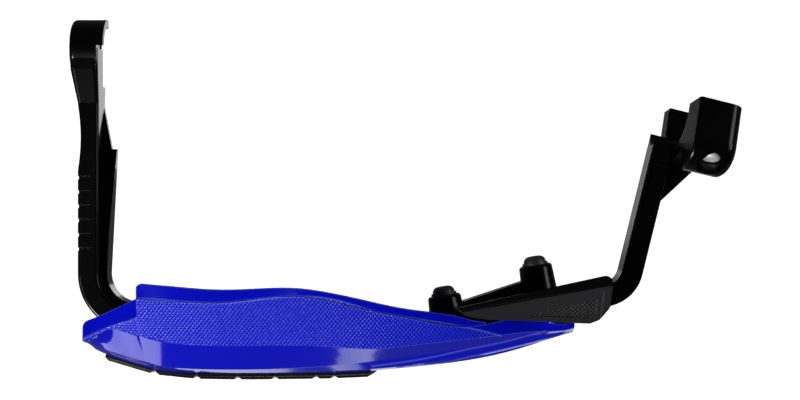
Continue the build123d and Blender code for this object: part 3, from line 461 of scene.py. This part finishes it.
def shield_blue():
    """Glossy ultramarine with a band of small raised diamonds, painted paler on their tops and darker in
    their hollows as highlight and shade, and with painted highlights in a paler blue along the crease lines,
    ridges and edges.
    """
    material, tree, shader = start_material("shield blue")
    shader.inputs["Specular IOR Level"].default_value = SHIELD_SPECULAR
    axes = split_axes(tree, (-2900, 300), "ShaderNodeTexCoord", "Object")
    facing = split_axes(tree, (-2900, -100), "ShaderNodeNewGeometry", "True Normal")
    front = add_math(tree, "LESS_THAN", (-2500, -100), facing.outputs["Y"], 0.0)

    top = crease_curve(tree, (-2300, 700), axes.outputs["X"], BAND_TOP)
    foot = crease_curve(tree, (-2300, 400), axes.outputs["X"], BAND_FOOT)
    below_top = add_math(tree, "LESS_THAN", (-1600, 700), axes.outputs["Y"], top)
    above_foot = add_math(tree, "GREATER_THAN", (-1600, 500), axes.outputs["Y"], foot)
    upper = add_math(tree, "GREATER_THAN", (-1600, 300), axes.outputs["Z"], BAND_LOWEST_Z)
    between = add_math(tree, "MULTIPLY", (-1400, 600), below_top, above_foot)
    upper_front = add_math(tree, "MULTIPLY", (-1400, 400), upper, front)
    band = add_math(tree, "MULTIPLY", (-1200, 500), between, upper_front)

    upper_ridge = ridge_height(tree, (-2300, -300), axes, UPPER_RIDGE)
    lower_ridge = ridge_height(tree, (-2300, -700), axes, LOWER_RIDGE)
    either_ridge = add_math(tree, "MAXIMUM", (-900, -500), upper_ridge, lower_ridge)
    above_middle = add_math(tree, "GREATER_THAN", (-1100, -900), axes.outputs["Z"], RIDGE_LOWEST_Z)
    on_front = add_math(tree, "MULTIPLY", (-900, -900), above_middle, front)
    ridges = add_math(tree, "MULTIPLY", (-700, -600), either_ridge, on_front)
    # The flange root line is only a painted highlight in paler colour, with no bump
    root_highlight_line = ridge_height(tree, (-2300, 1100), axes, BAND_TOP)
    root_highlight = add_math(tree, "MULTIPLY", (-900, 1100), root_highlight_line, upper)

    grain = place_group(tree, GRAIN, (-900, -200), Grains_per_metre=SHIELD_GRAINS)
    diamonds = place_group(tree, DIAMONDS, (-900, 200))
    edge_wear_and_highlight = place_group(tree, EDGE_WEAR_AND_HIGHLIGHT, (-900, 900), Edge_radius=SHIELD_EDGE_HIGHLIGHT_RADIUS, Gain=SHIELD_EDGE_HIGHLIGHT_GAIN)
    # The diamonds' colour is painted light: tops paler as a highlight, hollows darker as shade
    field = mix_colours(tree, (-650, 500), diamonds.outputs["Height"], DIAMOND_HOLLOW_PAINTED_SHADE_BLUE, DIAMOND_TOP_PAINTED_HIGHLIGHT_BLUE)
    banded = mix_colours(tree, (-450, 400), band, SHIELD_BLUE, field)
    # Painted highlight: the root line, the ridge tops and the edges are mixed toward the paler blue
    crease_highlights = add_math(tree, "MAXIMUM", (-700, 1000), root_highlight, ridges)
    paler = add_math(tree, "MAXIMUM", (-500, 800), edge_wear_and_highlight.outputs["Mask"], crease_highlights)
    colour = mix_colours(tree, (-250, 500), paler, banded, SHIELD_PAINTED_HIGHLIGHT_BLUE)
    tree.links.new(colour, shader.inputs["Base Color"])
    rough = add_math(tree, "MULTIPLY_ADD", (-400, 0), band, BAND_EXTRA_ROUGHNESS, SHIELD_ROUGHNESS)
    tree.links.new(rough, shader.inputs["Roughness"])

    raised = add_math(tree, "MULTIPLY", (-650, 0), band, diamonds.outputs["Height"])
    edges = place_group(tree, SOFT_EDGE, (-900, -1100), Edge_radius=SHIELD_EDGE_RADIUS)
    orange_peel = add_bump(tree, shader, (-600, -900), grain.outputs["Height"], SHIELD_GRAIN_DEPTH, edges)
    ridge_bump = add_bump(tree, shader, (-400, -700), ridges, RIDGE_HEIGHT, orange_peel)
    add_bump(tree, shader, (-200, -500), raised, DIAMOND_HEIGHT, ridge_bump)
    return material


GRAIN = moulded_grain_group()
EDGE_WEAR_AND_HIGHLIGHT = edge_wear_and_highlight_group()
SOFT_EDGE = soft_edge_group()
DIAMONDS = diamond_field_group()

FINISHES = {
    "spar_plastic": spar_black(),
    "shield_plastic": shield_blue(),
    "panel_plastic": panel_grey(),
    "pad_plastic": pad_black(),
    "dark_screw_steel": plated_metal(
        "phosphate steel", DARK_STEEL, DARK_STEEL_PALE, roughness=(0.34, 0.5), metallic=0.5
    ),
    "bright_screw_steel": plated_metal(
        "zinc plate", BRIGHT_STEEL, BRIGHT_STEEL_DULL, roughness=(0.36, 0.5), metallic=0.3
    ),
    "insert_brass": plated_metal(
        "turned brass", INSERT_BRASS, INSERT_BRASS_DULL, roughness=(0.25, 0.4), metallic=1.0
    ),
}

for subpart in frame["record"]["subparts"]:
    solid = frame["nodes"][subpart["node"]]
    for material_slot in solid.material_slots:
        material_slot.material = FINISHES[subpart["material_slot"]]


def studio_world():
    """Soft surroundings, dim overhead and in front and brighter to the rear, white to the camera."""
    world = bpy.data.worlds.new("studio")
    world.use_nodes = True
    bpy.context.scene.world = world
    tree = world.node_tree
    background = tree.nodes["Background"]
    axes = split_axes(tree, (-900, 0), "ShaderNodeTexCoord", "Generated")
    level = add_node(
        tree, "ShaderNodeMapRange", (-500, 0), From_Min=REAR_START, To_Min=SKY_LEVEL, To_Max=REAR_LEVEL
    )
    tree.links.new(axes.outputs["Y"], level.inputs["Value"])
    rays = add_node(tree, "ShaderNodeLightPath", (-500, -300))
    seen = add_math(tree, "MAXIMUM", (-250, 0), level.outputs["Result"], rays.outputs["Is Camera Ray"])
    tree.links.new(seen, background.inputs["Strength"])


def painted_reflection_card(tree, place, axes, low_corner, high_corner):
    """1 inside a rectangle on the floor, else 0."""
    sides = []
    for row, axis in enumerate("XY"):
        middle = (low_corner[row] + high_corner[row]) / 2
        half = (high_corner[row] - low_corner[row]) / 2
        offset = add_math(tree, "SUBTRACT", (place[0], place[1] - 180 * row), axes.outputs[axis], middle)
        distance = add_math(tree, "ABSOLUTE", (place[0] + 180, place[1] - 180 * row), offset)
        near = add_math(tree, "LESS_THAN", (place[0] + 360, place[1] - 180 * row), distance, half)
        sides.append(near)
    return add_math(tree, "MULTIPLY", (place[0] + 540, place[1]), *sides)


def studio_floor():
    """A plain floor well below the guard, pale to the camera, which the guard mirrors as dark, with the pale
    cards glowing in it as painted reflections.
    """
    low, _ = cad_box
    bpy.ops.mesh.primitive_plane_add(size=FLOOR_SIZE, location=(*VIEW_CENTRE, low[2] - FLOOR_DROP))
    floor = bpy.context.object
    floor.name = "floor"
    material, tree, shader = start_material("floor with painted reflections")
    shader.inputs["Roughness"].default_value = FLOOR_ROUGHNESS
    axes = split_axes(tree, (-1100, -600), "ShaderNodeNewGeometry", "Position")
    painted_reflection = PAINTED_REFLECTION_LEVEL
    for row, (low_corner, high_corner, card_glow_level) in enumerate(PAINTED_REFLECTION_CARDS):
        card = painted_reflection_card(tree, (-900, -900 - 400 * row), axes, low_corner, high_corner)
        card_glow = add_math(tree, "MULTIPLY", (-200, -900 - 400 * row), card, card_glow_level)
        painted_reflection = add_math(tree, "MAXIMUM", (0, -900 - 400 * row), card_glow, painted_reflection)
    # Painted reflections: to glossy rays the floor is black and glows only at the cards, while the camera
    # sees it pale
    rays = add_node(tree, "ShaderNodeLightPath", (-700, -300))
    glossy = rays.outputs["Is Glossy Ray"]
    colour = mix_colours(tree, (-250, 0), glossy, FLOOR_WHITE, FLOOR_PAINTED_DARK_REFLECTION)
    tree.links.new(colour, shader.inputs["Base Color"])
    seen = add_math(tree, "MULTIPLY", (-450, -300), rays.outputs["Is Camera Ray"], FLOOR_GLOW)
    painted_reflection_strength = add_math(tree, "MULTIPLY", (200, -500), glossy, painted_reflection)
    shader.inputs["Emission Color"].default_value = GLOW_WHITE
    strength = add_math(tree, "MAXIMUM", (-250, -300), seen, painted_reflection_strength)
    tree.links.new(strength, shader.inputs["Emission Strength"])
    floor.data.materials.append(material)


def studio_lamp(name, place, target, size, watts):
    """A soft square lamp at a place, turned to a target."""
    data = bpy.data.lights.new(name, "AREA")
    data.size = size
    data.energy = watts
    lamp = bpy.data.objects.new(name, data)
    lamp.location = place
    lamp.rotation_euler = (Vector(target) - Vector(place)).to_track_quat("-Z", "Y").to_euler()
    lamp.visible_camera = False
    bpy.context.scene.collection.objects.link(lamp)


def photograph_camera():
    """A camera straight above the guard that frames it as the photograph does."""
    data = bpy.data.cameras.new("camera")
    data.sensor_fit = "HORIZONTAL"
    data.sensor_width = SENSOR_WIDTH_MM
    data.lens = SENSOR_WIDTH_MM * CAMERA_HEIGHT / VIEW_WIDTH
    data.clip_start = CLIP_START
    camera = bpy.data.objects.new("camera", data)
    camera.location = (*VIEW_CENTRE, CAMERA_HEIGHT)
    bpy.context.scene.collection.objects.link(camera)
    bpy.context.scene.camera = camera


studio_world()
studio_floor()
studio_lamp("left lamp", LEFT_LAMP, LAMP_TARGET, SIDE_LAMP_SIZE, LEFT_LAMP_WATTS)
studio_lamp("right lamp", RIGHT_LAMP, LAMP_TARGET, SIDE_LAMP_SIZE, RIGHT_LAMP_WATTS)
studio_lamp("front lamp", FRONT_LAMP, FRONT_LAMP_TARGET, FRONT_LAMP_SIZE, FRONT_LAMP_WATTS)
studio_lamp("low lamp", LOW_LAMP, LOW_LAMP_TARGET, LOW_LAMP_SIZE, LOW_LAMP_WATTS)
photograph_camera()
bpy.context.scene.view_settings.view_transform = "Standard"
